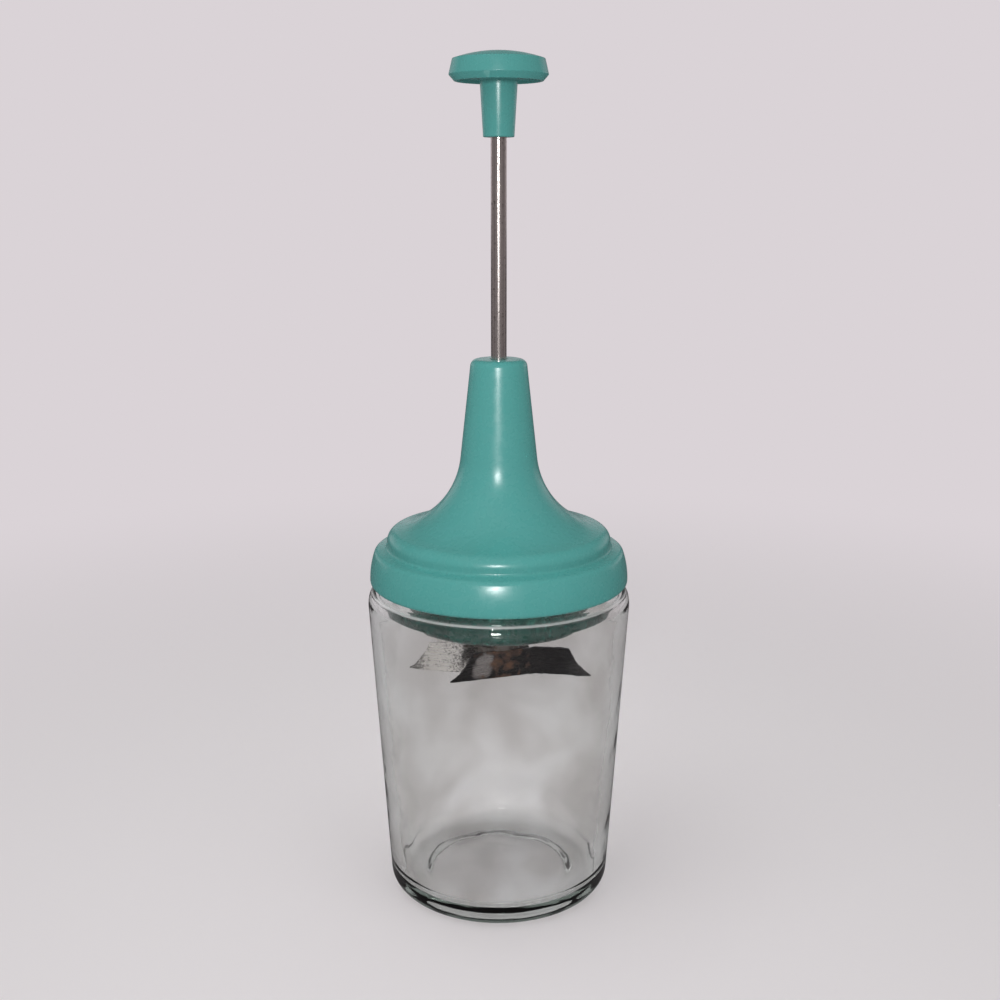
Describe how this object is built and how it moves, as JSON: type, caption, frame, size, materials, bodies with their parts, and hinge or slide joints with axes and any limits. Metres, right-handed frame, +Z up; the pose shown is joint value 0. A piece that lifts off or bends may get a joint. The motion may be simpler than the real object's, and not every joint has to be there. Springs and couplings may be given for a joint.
{
  "type": "nut chopper",
  "caption": "Push-type nut chopper: a glass jar, a screw lid with a trumpet neck, and a spring-returned plunger that drives a pair of bent blades down into the jar.",
  "frame": {"origin": "on the table, under the jar's axis", "axes": "+Z up along the plunger; -Y is the side the picture looks at; +X is its right"},
  "size_m": [0.0764, 0.0764, 0.2417],
  "materials": {
    "glass": "clear pressed glass",
    "turquoise_plastic": "moulded, glossy with light wear",
    "rod_steel": "drawn bar",
    "blade_steel": "stamped strip, rust-stained at the rivets",
    "hub_steel": "turned, dulled",
    "spring_steel": "wire"
  },
  "bodies": {
    "jar_body": {"glass_jar": "glass"},
    "cup_body": {"spring_cup": "turquoise_plastic", "return_spring": "spring_steel"},
    "lid_body": {"lid": "turquoise_plastic"},
    "follower_body": {"stop_washer": "hub_steel"},
    "plunger_body": {"plunger_rod": "rod_steel", "knob": "turquoise_plastic", "retaining_clip": "spring_steel", "blade_hub": "hub_steel", "front_blade": "blade_steel", "rear_blade": "blade_steel", "blade_rivets": "hub_steel"}
  },
  "joints": [
    {"name": "lid_rise", "type": "slide", "parent": "jar_body", "child": "cup_body", "axis": [0, 0, 1], "range_m": [0, 0.045]},
    {"name": "lid_turn", "type": "hinge", "parent": "cup_body", "child": "lid_body", "pos_m": [0, 0, 0.1], "axis": [0, 0, 1], "range_deg": [0, 1621]},
    {"name": "plunger_press", "type": "slide", "parent": "cup_body", "child": "follower_body", "axis": [0, 0, -1], "range_m": [0, 0.06], "stiffness_N_per_m": 140, "springref_m": -0.012, "deforming": ["return_spring"]},
    {"name": "plunger_turn", "type": "hinge", "parent": "follower_body", "child": "plunger_body", "pos_m": [0, 0, 0.16], "axis": [0, 0, 1], "continuous": true}
  ],
  "couplings": [
    {"joint": "lid_turn", "follows": "lid_rise", "rad_per_m": 628.32}
  ]
}
